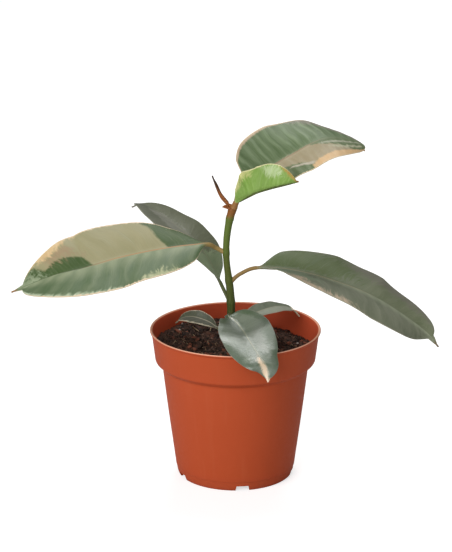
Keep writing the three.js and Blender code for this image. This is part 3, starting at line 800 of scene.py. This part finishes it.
def grow_leaf(name, path, stalk, radius, width, widest, lean, fold, curl, drip_tip=0.06, veins=15,
              ripple=0.15, slant=SLANT, fullness=FULLNESS, patches=()):
    """A leaf mesh, sizes in mm, with each vertex's place on the blade noted for its material."""
    route = Route(path)
    stalk, radius, width = stalk * MM, radius * MM, width * MM
    blade = route.length - stalk
    even = np.linspace(0, 1, BLADE_STATIONS + 1)
    along = even - STATION_CROWDING * np.sin(2 * np.pi * even)
    stalk_share = -np.linspace(1, 0, STALK_STATIONS + 1)[:-1] * stalk / blade
    start = np.concatenate([stalk_share, along])[:, None]
    signed = np.concatenate([np.arange(-BLADE_COLUMNS, BLADE_COLUMNS + 1),
                             np.arange(BLADE_COLUMNS, -BLADE_COLUMNS - 1, -1)])
    face = np.where(np.arange(signed.size) < signed.size // 2, 1, -1)
    side = np.where(signed >= 0, 1, -1)
    share = 1 - (1 - np.abs(signed) / BLADE_COLUMNS) ** COLUMN_CROWDING
    forward = np.clip(4 * start * (1 - start), 0, None)
    place_along = start + slant * width / route.length * share * forward
    rib = rib_radius(radius, place_along)
    half = np.maximum(half_width(width, widest, drip_tip, fullness, place_along), rib + BESIDE_RIB * MM)
    off_rib = share * half

    # Across the blade: folded up beside the midrib, then curled out to the edge.
    fold_angle = np.radians(keyed(fold, place_along))
    curl_angle = np.radians(keyed(curl, place_along))
    out = np.zeros_like(half)
    rise = np.zeros_like(half)
    for k in range(FOLD_STEPS):
        middle = (k + 0.5) / FOLD_STEPS * off_rib
        angle = fold_angle * np.minimum(1, middle / KEEL) + curl_angle * middle / half
        out += off_rib / FOLD_STEPS * np.cos(angle)
        rise += off_rib / FOLD_STEPS * np.sin(angle)
    tilt = fold_angle * np.minimum(1, off_rib / KEEL) + curl_angle * share

    # Its relief: a waved edge, rippled side veins and the midrib, which stands out below.
    vein_count = start * veins + 0.5 * (side > 0)
    pucker = np.clip(share / RIPPLE_START, 0, 1) * np.clip((1 - share) / RIPPLE_END, 0, 1)
    pucker = pucker * half / (width / 2)
    wave = 2 * EDGE_WAVE * half * share ** 2 * np.sin(2 * np.pi * EDGE_WAVES * place_along + side)
    wave += ripple * MM * np.cos(2 * np.pi * vein_count) * pucker
    thick = THICKNESS * (1 - THINNER_EDGE * share ** 8)
    ridge = RIB_DEPTH * rib * np.exp(-(off_rib / (RIB_WIDTH * rib)) ** 2) * (face < 0)
    ridge_above = RIB_ABOVE * rib * np.exp(-(off_rib / (RIB_ABOVE_WIDTH * rib)) ** 2) * (face > 0)
    lift = face * thick / 2 - ridge + ridge_above + wave
    centre, right, above = leaf_frame(route, stalk, lean, place_along)
    flat = (centre + right * (side * (out - lift * np.sin(tilt)))[..., None]
            + above * (rise + lift * np.cos(tilt))[..., None])

    # The stalk: a rod, swollen where it leaves the stem, that flattens into the blade.
    turn = np.radians(90 - np.abs(signed) * 180 / (2 * BLADE_COLUMNS + 1))
    swollen = 1 + SWELLING * np.exp(-(start - stalk_share[0]) * blade / SWELLING_LENGTH)
    round_radius = rib_radius(radius, start) * swollen
    centre, right, above = leaf_frame(route, stalk, lean, np.broadcast_to(start, half.shape))
    rod = (centre + right * (side * round_radius * np.cos(turn))[..., None]
           + above * (face * round_radius * np.sin(turn))[..., None])
    flatness = np.clip(start / BLEND, 0, 1)
    flatness = (flatness ** 2 * (3 - 2 * flatness))[..., None]
    leaf = loft(name, rod * (1 - flatness) + flat * flatness)

    across = np.broadcast_to(side * share, half.shape)
    notes = {"along": place_along, "across": across, "vein": vein_count,
             "off_rib": off_rib / MM, "face": np.broadcast_to(face, half.shape)}
    for number, (outline, _, _, _) in enumerate(patches):
        notes[f"patch_{number}"] = inside(outline, place_along, across)
    for key, values in notes.items():
        note = leaf.data.attributes.new(key, "FLOAT", "POINT")
        note.data.foreach_set("value", np.ascontiguousarray(values, np.float32).ravel())
    smoothed(leaf, sharp_from=60)
    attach(leaf, "root")
    return leaf


def finish_leaf(leaf, right, left, margin, rib, rib_end, stalk, underside_and_highlight, tip, patches=(),
                pleat_light_and_shade=(0.05, 0.05), rib_highlight=(0.25, 0.25), rib_highlight_width=0.22, margin_width=0.03,
                below=0.8, veined=0.2, grain=0.3, tip_from=0.955, rib_half=0.6, roughness=0.48,
                coat=0.05, coat_rough=0.25, coat_ior=1.5, seed=0.0):
    """Waxy skin: a green for each half, patches, margin, midrib and stalk, streaked by veins, with painted
    light and shade in the halves, the pleats, a band beside the midrib and some patches.
    """
    skin = Finish(leaf.name + "_skin", Coat_Weight=coat, Coat_Roughness=coat_rough,
                  Coat_IOR=coat_ior, Specular_IOR_Level=0.25)
    times, plus, minus = skin.times, skin.plus, skin.minus
    blend, between, paint = skin.blend, skin.between, skin.paint
    along = skin.noted("along")
    across = skin.noted("across")

    def drawn_out(lengthwise, count, width, shift, detail, roughness, scale=1):
        """Noise in streaks that run from the midrib to the edge."""
        place = skin.point(times(lengthwise, count), times(across, width), seed + shift)
        return skin.mottle(scale, detail, roughness, place)

    wander = drawn_out(along, count=7, width=1, shift=9, detail=2, roughness=0.5)
    vein_number = plus(skin.noted("vein"), times(minus(wander, 0.5), 1.6))
    broad = drawn_out(vein_number, count=1, width=1.1, shift=0, detail=3, roughness=0.5, scale=1.2)
    streak = drawn_out(vein_number, count=3.2, width=1, shift=3, detail=5, roughness=0.65)
    hair = drawn_out(vein_number, count=16, width=1.5, shift=7, detail=3, roughness=0.6)
    torn = drawn_out(vein_number, count=5, width=5, shift=5, detail=4, roughness=0.65)
    edge = skin.node("Math", across, operation="ABSOLUTE").outputs[0]
    fraction = skin.node("Math", vein_number, operation="FRACT").outputs[0]
    beside = skin.node("Math", minus(fraction, 0.5), operation="ABSOLUTE").outputs[0]

    # Two halves, each its own green, which on some leaves also carries painted light and shade; painted
    # light and shade in stripes at the side veins for the pleats; and a painted highlight band beside the
    # midrib.
    # Painted light and shade: lighter and darker stripes at the side veins, where the pleats catch and lose
    # the light.
    pleat_shading = times(between(beside, 0.15, 0.48), between(edge, 0.05, 0.25))
    pleat_shading = times(minus(pleat_shading, 0.5), between(broad, 0.3, 0.7, 0.5, 1.5))
    shade = plus(between(broad, 0.25, 0.75, 0.15, 0.6), between(streak, 0.35, 0.7, -0.1, 0.3))
    right_half, left_half = (blend(plus(shade, times(pleat_shading, strength * 2)), *greens)
                             for strength, greens in zip(pleat_light_and_shade, (right, left)))
    skin.colour = blend(between(across, -0.01, 0.01), left_half, right_half)
    # Painted highlight: a pale band beside the midrib, in the underside's pale green.
    highlight_side = between(across, -0.01, 0.01, rib_highlight[1], rib_highlight[0])
    rib_highlight_mask = times(between(edge, 0.04, rib_highlight_width, 1, 0), highlight_side)
    paint(times(rib_highlight_mask, between(beside, 0.0, 0.45, 0.6, 1)), underside_and_highlight)

    # Patches with torn edges, then the finest streaks and the side veins over all.
    ragged = minus(plus(times(torn, 0.75), times(streak, 0.25)), 0.5)
    for number, (_, deep, pale, feather) in enumerate(patches):
        patch_colour = blend(between(broad, 0.25, 0.75, 0.2, 0.7), deep, pale)
        patch_colour = blend(between(streak, 0.45, 0.75, 0, 0.5), patch_colour, pale)
        depth = plus(skin.noted(f"patch_{number}"), times(ragged, feather))
        soft = 0.02 + 0.1 * feather
        paint(between(depth, -soft, soft), patch_colour)
    paint(between(hair, 0.5, 0.75, 0, 0.22), underside_and_highlight)
    paint(between(hair, 0.45, 0.25, 0, 0.15), right[0])
    vein_line = times(between(beside, 0.44, 0.5), between(edge, 0.98, 0.75))
    paint(times(vein_line, veined), underside_and_highlight)

    # Margin, underside, midrib, stalk and tip.
    margin_depth = plus(edge, times(minus(streak, 0.5), margin_width * 4))
    on_margin = between(margin_depth, 1 - margin_width, 1 - margin_width * 0.5)
    paint(times(on_margin, between(along, 0.0, 0.03)), margin)
    streaked_under = blend(between(streak, 0.3, 0.7, 0, 0.35), underside_and_highlight, margin)
    paint(between(skin.noted("face"), -0.5, 0.5, below, 0), streaked_under)
    rib_width = between(along, 0.0, 1.0, rib_half, 0.2)
    on_rib = between(skin.noted("off_rib"), times(rib_width, 0.5), rib_width, 0.9, 0)
    paint(on_rib, blend(between(along, 0.45, 0.65), rib, rib_end))
    paint(between(along, 0.0, 0.05, 1, 0), stalk)
    paint(between(along, tip_from, tip_from + 0.03), tip)
    pores = times(skin.mottle(620, 2, 0.6), 2)
    texture = times(plus(plus(skin.mottle(1900, 4, 0.6), hair), pores), grain)
    skin.relief(minus(texture, times(vein_line, 0.5)), 0.00012, 0.5)
    rough = between(streak, 0.3, 0.7, roughness - 0.04, roughness + 0.08)
    leaf.data.materials.append(skin.finished(rough))


# A patch is its outline on the blade, its deep and pale colours, and how torn its edge is. The
# outline is in percent: along from stalk to tip, across from -100 at the left edge to 100.
LEFT_PATCHES = [
    ([(35, 110), (26, 78), (24, 43), (20, 0), (56, -4), (60, 30), (66, 40), (72, 45), (76, 45), (80, 25),
      (84, 50), (87, 78), (92, 110)], (0.29, 0.27, 0.14), (0.37, 0.335, 0.19), 0.15),
    ([(60, 42), (66, 70), (72, 80), (80, 62), (77, 40), (70, 48)], (0.3, 0.22, 0.12),
      (0.4, 0.3, 0.18), 1.2),
    ([(48, 110), (60, 100), (68, 92), (72, 80), (77, 70), (82, 72), (86, 92), (93, 86), (96, 110)],
      (0.6, 0.4, 0.19), (0.74, 0.56, 0.32), 0.7),
    ([(82, 10), (88, 45), (92, 110), (100, 110), (100, -30), (90, -15)], (0.17, 0.22, 0.12),
      (0.4, 0.46, 0.3), 1.6),
    ([(22, -88), (26, -80), (31, -86), (36, -94), (37, -110), (20, -110)], (0.34, 0.38, 0.2),
      (0.56, 0.56, 0.34), 0.8),
    ([(50, -97), (65, -92), (75, -93), (85, -88), (97, -80), (100, -110), (50, -110)],
      (0.34, 0.42, 0.27), (0.58, 0.64, 0.46), 0.5),
]
leaf_left = grow_leaf(
    "left_leaf",
    path=[(-5.5, 0, 141), (-12, 0, 144.5), (-18.5, -4.5, 148), (-40, -13.5, 148.5), (-68, -19.5, 144.5),
          (-90, -26.5, 140), (-109, -28, 135.5), (-135, -18, 122)],
    stalk=14, radius=1.3, width=56, widest=0.53, lean=[-26, -25, -26, -43], fold=[6, 15, 15, 26],
    curl=[-23, -19, -14, -3], veins=13, ripple=0.07, patches=LEFT_PATCHES)
finish_leaf(
    leaf_left, right=((0.045, 0.085, 0.02), (0.085, 0.125, 0.045)),
    left=((0.085, 0.135, 0.06), (0.15, 0.195, 0.105)), patches=LEFT_PATCHES,
    margin=(0.72, 0.58, 0.4), rib=(0.42, 0.22, 0.09), rib_end=(0.1, 0.12, 0.06),
    stalk=(0.34, 0.23, 0.08), underside_and_highlight=(0.29, 0.33, 0.2), tip=(0.3, 0.16, 0.07), pleat_light_and_shade=(0.1, 0.2),
    rib_highlight=(0.0, 0.85), rib_highlight_width=0.55, margin_width=0.045, veined=0.1)
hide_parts("leaf_left")

# Right leaf: arches out of the middle of the stem to the right and hangs down at its tip. Its front half is
# painted lighter and its rear half darker, as painted light and shade, with cream and pink streaks along
# the edge near the stalk.
RIGHT_PATCHES = [
    # A darker green on the rear half near the stalk: partly the leaf's own green, partly painted shade.
    ([(0, -110), (0, -5), (35, -5), (50, -30), (45, -75), (25, -95)], (0.075, 0.115, 0.035),
      (0.12, 0.155, 0.06), 1.6),
    # Painted sheen: a paler grey along the rear edge towards the tip.
    ([(42, -110), (45, -75), (60, -55), (80, -60), (92, -80), (85, -110)], (0.13, 0.13, 0.09),
      (0.2, 0.19, 0.15), 1.6),
    # Painted sheen: a paler mint green on the front half near the stalk.
    ([(0, 5), (0, 110), (25, 110), (35, 50), (20, 8)], (0.19, 0.25, 0.15), (0.3, 0.35, 0.24), 1.4),
    ([(20, 92), (24, 78), (28, 70), (31, 84), (40, 90), (44, 84), (50, 93), (56, 110), (16, 110)],
      (0.4, 0.36, 0.25), (0.68, 0.5, 0.36), 0.9),
]
leaf_right = grow_leaf(
    "right_leaf",
    path=[(-3, 0, 122.8), (3.2, 0, 128), (13.5, 0, 131.8), (34, -2, 131), (58, -10, 127),
          (85.5, -15, 117), (113.5, -17, 98), (122.5, -25, 89.5)],
    stalk=18, radius=1.2, width=57, widest=0.5, lean=[4, 3, 11, 29], fold=[31, 19, 12, 15],
    curl=[-11, -18, -24, -26], ripple=0.03, patches=RIGHT_PATCHES)
finish_leaf(
    # The front half's paler greens are painted light, the rear half's darker greens painted shade.
    leaf_right, right=((0.14, 0.16, 0.1), (0.24, 0.25, 0.18)),
    left=((0.125, 0.15, 0.08), (0.185, 0.2, 0.125)), patches=RIGHT_PATCHES,
    margin=(0.33, 0.31, 0.22), rib=(0.34, 0.29, 0.18), rib_end=(0.2, 0.22, 0.15),
    stalk=(0.27, 0.17, 0.055), underside_and_highlight=(0.27, 0.3, 0.2), tip=(0.14, 0.1, 0.05), rib_highlight=(0.9, 0.0),
    rib_highlight_width=0.28, veined=0.08, margin_width=0.02, seed=11.0)
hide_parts("leaf_right")

# Back left leaf: leaves the foot of the stem and points up and away behind the left leaf, dark grey-green
# on both faces, with a paler grey patch along the middle, partly a duller bloom and partly painted sheen,
# and a lighter green base, partly its own colour and partly painted light where the left leaf shades it.
BACK_LEFT_PATCHES = [
    # Lighter green at the base: partly the leaf's own green, partly painted light where the left leaf
    # shades it.
    ([(-5, -110), (-5, 110), (22, 110), (28, -110)], (0.18, 0.24, 0.13), (0.28, 0.34, 0.2), 1.0),
    # Paler grey along the middle: partly a dull bloom, partly painted sheen.
    ([(32, -40), (50, -50), (78, -30), (72, 12), (40, 10)], (0.17, 0.175, 0.13), (0.26, 0.26, 0.21),
      0.7),
]
leaf_back_left = grow_leaf(
    "back_left_leaf",
    path=[(-3, 1, 108.5), (-7.3, 3.2, 117), (-11, 4.8, 124.5), (-18.5, 10.5, 137), (-29.5, 19, 147),
          (-41, 28.5, 153.5), (-56.5, 41.5, 160), (-64.5, 50, 156)],
    stalk=14, radius=1.1, width=38.5, widest=0.47, lean=[25, 7, 8, 9], fold=[20, 14, 12, 10],
    curl=[-14, -18, -14, -10], veins=13, ripple=0.03, patches=BACK_LEFT_PATCHES)
finish_leaf(
    leaf_back_left, right=((0.1, 0.11, 0.06), (0.15, 0.16, 0.1)),
    left=((0.1, 0.11, 0.07), (0.15, 0.155, 0.11)), patches=BACK_LEFT_PATCHES,
    margin=(0.34, 0.33, 0.24), rib=(0.24, 0.25, 0.15), rib_end=(0.18, 0.18, 0.12),
    stalk=(0.12, 0.14, 0.05), underside_and_highlight=(0.2, 0.22, 0.15), tip=(0.12, 0.09, 0.05), margin_width=0.02,
    seed=23.0)
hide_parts("leaf_back_left")

# Top leaf: the last full leaf, from the top of the stem to the right and away, with strong
# side veins, a cream margin and a peach and tan patch over its lower half.
TOP_PATCHES = [
    ([(20, 3), (34, -3), (50, -2), (54, 10), (58, 26), (66, 50), (74, 78), (82, 110), (42, 110),
      (41, 73), (36, 53), (28, 40), (22, 25)], (0.32, 0.26, 0.15), (0.42, 0.36, 0.24), 0.25),
    ([(41, 86), (46, 78), (59, 74), (70, 80), (80, 84), (90, 96), (92, 110), (40, 110)],
      (0.6, 0.38, 0.17), (0.72, 0.5, 0.28), 0.2),
    ([(-5, -86), (15, -91), (30, -94), (45, -96), (45, -110), (-5, -110)], (0.5, 0.34, 0.22),
      (0.62, 0.5, 0.36), 0.1),
    ([(45, -100), (58, -80), (72, -60), (84, -30), (90, 30), (100, 110), (110, -110), (45, -110)],
      (0.2, 0.2, 0.15), (0.34, 0.31, 0.25), 0.8),
    ([(57, 12), (66, 20), (80, 27), (93, 30), (93, 36), (78, 36), (64, 30), (57, 20)],
      (0.36, 0.38, 0.27), (0.5, 0.5, 0.38), 0.4),
    ([(60, 44), (70, 55), (86, 60), (86, 70), (70, 66), (62, 56)], (0.4, 0.42, 0.28),
      (0.52, 0.5, 0.34), 0.4),
    ([(31, 52), (38, 62), (44, 76), (42, 84), (36, 68), (28, 54)], (0.42, 0.38, 0.28),
      (0.58, 0.52, 0.42), 0.1),
]
leaf_top = grow_leaf(
    "top_leaf",
    path=[(-0.3, 1.6, 170.5), (1.5, 4, 178.2), (6.4, 6, 182.6), (18.8, 15.5, 189.3), (33.5, 23, 196),
          (54.5, 32.5, 204.3), (75.6, 45.5, 199.2), (80.3, 52.5, 191.5)],
    stalk=14, radius=1.1, width=54, widest=0.42, lean=[31, 21, 13, 18], fold=[28, 24, 10, 0],
    curl=[-10, -14, -20, -23], veins=17, ripple=0.12, slant=-0.05, patches=TOP_PATCHES)
finish_leaf(
    leaf_top, right=((0.09, 0.13, 0.05), (0.19, 0.24, 0.12)),
    left=((0.095, 0.145, 0.06), (0.2, 0.265, 0.145)), patches=TOP_PATCHES,
    margin=(0.7, 0.56, 0.36), rib=(0.3, 0.2, 0.12), rib_end=(0.2, 0.22, 0.13),
    stalk=(0.25, 0.2, 0.08), underside_and_highlight=(0.36, 0.4, 0.26), tip=(0.45, 0.26, 0.12), pleat_light_and_shade=(0.12, 0.22),
    rib_highlight=(0.1, 0.1), veined=0.1, seed=37.0)
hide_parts("leaf_top")

# Young leaf: the last to open, thin and still folded along its midrib like a shell, lime green
# with a yellow edge. It grows straight out of the top of the stem on a very short stalk.
YOUNG_PATCHES = [
    ([(12, 84), (22, 76), (40, 76), (46, 110), (10, 110)], (0.42, 0.48, 0.14), (0.74, 0.68, 0.34), 1.2),
    # Painted highlight: a paler green patch along the middle of the upper edge.
    ([(60, 58), (70, 48), (80, 58), (82, 95), (56, 95)], (0.38, 0.52, 0.2), (0.62, 0.72, 0.44), 1.2),
    ([(82, 92), (87, 70), (92, 48), (98, 20), (102, 110), (80, 110)], (0.42, 0.38, 0.09),
      (0.48, 0.26, 0.07), 1.0),
    ([(-10, 0), (-10, 12), (40, 7), (110, 10), (110, 0)], (0.08, 0.1, 0.03), (0.12, 0.15, 0.04), 0.1),
]
leaf_new = grow_leaf(
    "young_leaf",
    path=[(-1, -1.5, 170.2), (0.9, -2.7, 174.8), (2.9, -3.8, 176.3), (9.3, -5.7, 179.9),
          (13.6, -8.5, 182.5), (21.3, -9.3, 184.9), (29.4, -11, 187.3), (37.6, -11, 189.4)],
    stalk=4, radius=1.7, width=33, widest=0.54, fullness=2.6, drip_tip=0.02, lean=[2, -12, -24],
    fold=[62, 66, 70], curl=[6, 6, 6], veins=14, ripple=0.05, patches=YOUNG_PATCHES)
finish_leaf(
    leaf_new, right=((0.19, 0.34, 0.05), (0.31, 0.47, 0.13)),
    left=((0.19, 0.34, 0.05), (0.31, 0.47, 0.13)), patches=YOUNG_PATCHES, margin=(0.78, 0.74, 0.4),
    rib=(0.12, 0.15, 0.03), rib_end=(0.1, 0.11, 0.03), stalk=(0.3, 0.14, 0.04),
    underside_and_highlight=(0.36, 0.52, 0.16), tip=(0.28, 0.15, 0.04), margin_width=0.035, below=0.0, coat=0.2, seed=51.0)
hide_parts("leaf_new")

# Front leaf: leaves the foot of the stem and hangs forward over the rim, silver-green and very glossy, with
# painted sheen in two paler patches on the half to the viewer's right, painted shade along both edges, a
# pale midrib and a dry cream strip beside the tip.
FRONT_PATCHES = [
    ([(76, 6), (80, 28), (86, 38), (91, 46), (94, 70), (96, 110), (110, 110), (110, -50), (96, -10),
      (86, 4)], (0.7, 0.47, 0.26), (0.86, 0.68, 0.46), 0.6),
    # Painted sheen: two paler grey-green patches beside the midrib.
    ([(8, -10), (12, -90), (45, -95), (58, -40), (45, -6)], (0.14, 0.175, 0.12), (0.24, 0.275, 0.21),
      1.2),
    ([(42, -8), (46, -55), (62, -62), (76, -45), (72, -6)], (0.2, 0.23, 0.18), (0.36, 0.39, 0.33), 1.2),
    # Painted shade: darker greens along both edges.
    ([(0, 70), (30, 82), (70, 80), (100, 60), (100, 110), (0, 110)], (0.04, 0.08, 0.03),
      (0.075, 0.12, 0.055), 1.0),
    ([(0, -60), (30, -78), (70, -70), (100, -30), (100, -110), (0, -110)], (0.04, 0.08, 0.03),
      (0.075, 0.12, 0.055), 1.0),
]
leaf_front = grow_leaf(
    "front_leaf",
    path=[(-2.4, 0, 102), (-4.3, -6.4, 102.6), (0, -11.5, 101), (4.6, -24.7, 99.5), (6.9, -39.4, 100.5),
          (13.3, -54.6, 95), (18.2, -61.4, 89.7), (19.1, -64, 81.1)],
    stalk=4, radius=1.1, width=33, widest=0.46, drip_tip=0.02, lean=[9, 5, 12, 18], fold=[39, 31, 12, 2],
    curl=[-4, -12, -24, -30], veins=12, ripple=0.03, patches=FRONT_PATCHES)
finish_leaf(
    leaf_front, right=((0.06, 0.1, 0.05), (0.13, 0.175, 0.1)),
    left=((0.07, 0.115, 0.06), (0.15, 0.195, 0.12)), patches=FRONT_PATCHES,
    margin=(0.2, 0.21, 0.15), rib=(0.5, 0.49, 0.31), rib_end=(0.4, 0.38, 0.25),
    stalk=(0.16, 0.15, 0.07), underside_and_highlight=(0.24, 0.28, 0.19), tip=(0.75, 0.52, 0.32), rib_highlight=(0.1, 0.1),
    margin_width=0.015, grain=1.8, rib_half=0.4, roughness=0.4, coat=1.0, coat_rough=0.3, coat_ior=2.5,
    seed=67.0)
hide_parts("leaf_front")

# Low leaves: two small ones from the foot of the stem, arched just over the soil, grey-green
# with cream edges. The right one ends in a fine curled drip tip.
leaf_low_left = grow_leaf(
    "low_left_leaf",
    path=[(-3, 1, 91), (-8, 2, 91), (-11, 3, 92), (-16, 5, 95), (-22, 8, 96.5), (-27, 11, 96.5),
          (-32.5, 15, 94.5), (-37, 17, 90.5)],
    stalk=8, radius=0.9, width=17, widest=0.52, lean=[5, -6, -18], fold=[2, 8, 22], curl=[-8, -6, 0],
    veins=9, ripple=0.06)
finish_leaf(
    leaf_low_left, right=((0.07, 0.08, 0.045), (0.13, 0.14, 0.085)),
    left=((0.085, 0.09, 0.06), (0.17, 0.17, 0.12)), margin=(0.66, 0.58, 0.42), rib=(0.56, 0.5, 0.36),
    rib_end=(0.5, 0.44, 0.3), stalk=(0.12, 0.11, 0.05), underside_and_highlight=(0.25, 0.26, 0.18),
    tip=(0.3, 0.22, 0.14), margin_width=0.13, seed=71.0)
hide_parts("leaf_low_left")

leaf_low_right = grow_leaf(
    "low_right_leaf",
    path=[(-2.5, 1, 94), (3, 4, 96.5), (7, 6, 98), (14, 10, 100), (21, 14.5, 101), (27, 18.5, 100.8),
          (33, 22.5, 98.9), (37, 23.5, 96.2), (40, 24, 92.5)],
    stalk=10, radius=0.9, width=21, widest=0.52, drip_tip=0.14, lean=[2, 0, 12], fold=[8, 3, -3],
    curl=[0, 0, 0], veins=9, ripple=0.06)
finish_leaf(
    leaf_low_right, right=((0.27, 0.29, 0.22), (0.4, 0.43, 0.34)),
    left=((0.1, 0.125, 0.075), (0.18, 0.21, 0.14)), margin=(0.45, 0.36, 0.27), rib=(0.36, 0.34, 0.24),
    rib_end=(0.36, 0.34, 0.24), stalk=(0.12, 0.11, 0.05), underside_and_highlight=(0.26, 0.27, 0.2),
    tip=(0.82, 0.72, 0.55), margin_width=0.06, tip_from=0.8, seed=83.0)
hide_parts("leaf_low_right")

# Bud sheath: the two dried halves of the last bud's cover, left at the top of the stem. One
# stands up as a thin dark point, the other is a short stub.
HUSK = ((0.24, 0.065, 0.014), (0.44, 0.17, 0.055))
HUSK_POINT = (0.06, 0.035, 0.022)


def dry_sheath():
    husk = Finish("dry_sheath", Specular_IOR_Level=0.3)
    fibres = husk.mottle(1, 4, 0.6, husk.stretched(1500, 1500, 300))
    husk.colour = husk.blend(husk.between(fibres, 0.35, 0.7), *HUSK)
    husk.paint(husk.between(husk.height(), 0.176, 0.187), HUSK_POINT)
    husk.relief(fibres, 0.0003, 0.8)
    return husk.finished(husk.between(fibres, 0.3, 0.7, 0.5, 0.75))


sheath_skin = dry_sheath()
bud_sheath = grow_leaf(
    "bud_sheath_point",
    path=[(-2, 0, 170), (-3.6, 0, 171.4), (-6, 0, 173.4), (-8.8, 0, 176.8), (-11.2, 0, 182),
          (-14, 1, 189.5)],
    stalk=2, radius=0.9, width=5, widest=0.3, lean=[0, 0], fold=[45, 60], curl=[30, 10], veins=4,
    ripple=0.02)
bud_sheath.data.materials.append(sheath_skin)
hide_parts("bud_sheath")

bud_lobe = grow_leaf(
    "bud_sheath_stub",
    path=[(-2.5, -1.2, 168.5), (-4, -2, 170), (-6, -2.5, 171), (-8, -2.5, 171)],
    stalk=2, radius=0.8, width=3, widest=0.4, lean=[-30, -40], fold=[30, 30], curl=[10, 10], veins=3,
    ripple=0.02)
bud_lobe.data.materials.append(sheath_skin)
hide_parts("bud_sheath_lobe")
